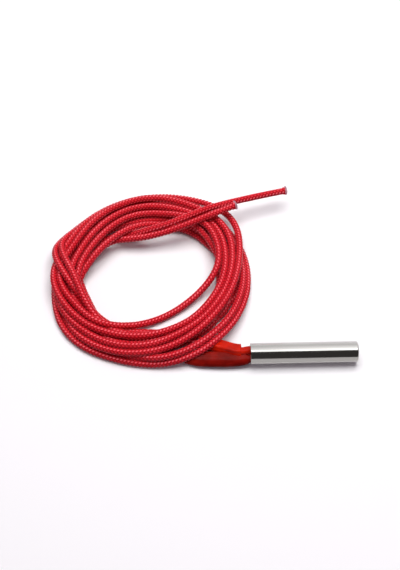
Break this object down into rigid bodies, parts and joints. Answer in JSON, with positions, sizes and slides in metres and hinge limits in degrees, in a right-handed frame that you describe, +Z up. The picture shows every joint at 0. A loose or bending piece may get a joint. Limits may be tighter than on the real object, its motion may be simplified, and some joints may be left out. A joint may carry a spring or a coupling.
{
  "type": "ceramic cartridge heater",
  "caption": "Slim cylindrical cartridge heater with a polished steel sheath and a loose coil of red braided leads ending in cut tips.",
  "frame": {"origin": "on the surface that the heater lies on, under the middle of the sheath", "axes": "+X along the sheath, from its mouth to its closed tip; +Z up from the surface"},
  "size_m": [0.0877, 0.0602, 0.0092],
  "materials": {
    "sheath": "polished, with faint lengthwise streaks",
    "alumina": "white fired ceramic, matt",
    "cement": "dark cement, matt",
    "magnesia": "pressed white powder",
    "resistance_wire": "drawn alloy wire",
    "nickel": "plain nickel",
    "conductor": "tinned strands",
    "insulation": "pale silicone, satin",
    "braid": "varnished red glass-fibre braid, slightly glossy",
    "silicone_sleeve": "orange-red silicone, satin gloss"
  },
  "bodies": {
    "root": {"sheath": "sheath", "tip_disc": "sheath", "core": "alumina", "tip_spacer": "alumina", "mouth_bead": "alumina", "mouth_seal": "cement", "powder_fill": "magnesia", "winding": "resistance_wire", "terminal_pin_a": "nickel", "terminal_pin_b": "nickel", "crimp_ferrule_a": "nickel", "crimp_ferrule_b": "nickel", "conductor_a_root": "conductor", "conductor_b_root": "conductor", "conductor_a_tip": "conductor", "conductor_b_tip": "conductor", "insulation_a_tip": "insulation", "insulation_b_tip": "insulation", "lead_a_root": "braid", "lead_b_root": "braid", "lead_coil": "braid", "lead_inner_turn": "braid", "lead_a_end": "braid", "lead_b_end": "braid", "sleeve_a_inner": "silicone_sleeve", "sleeve_a_outer": "silicone_sleeve", "sleeve_b": "silicone_sleeve"}
  },
  "joints": []
}
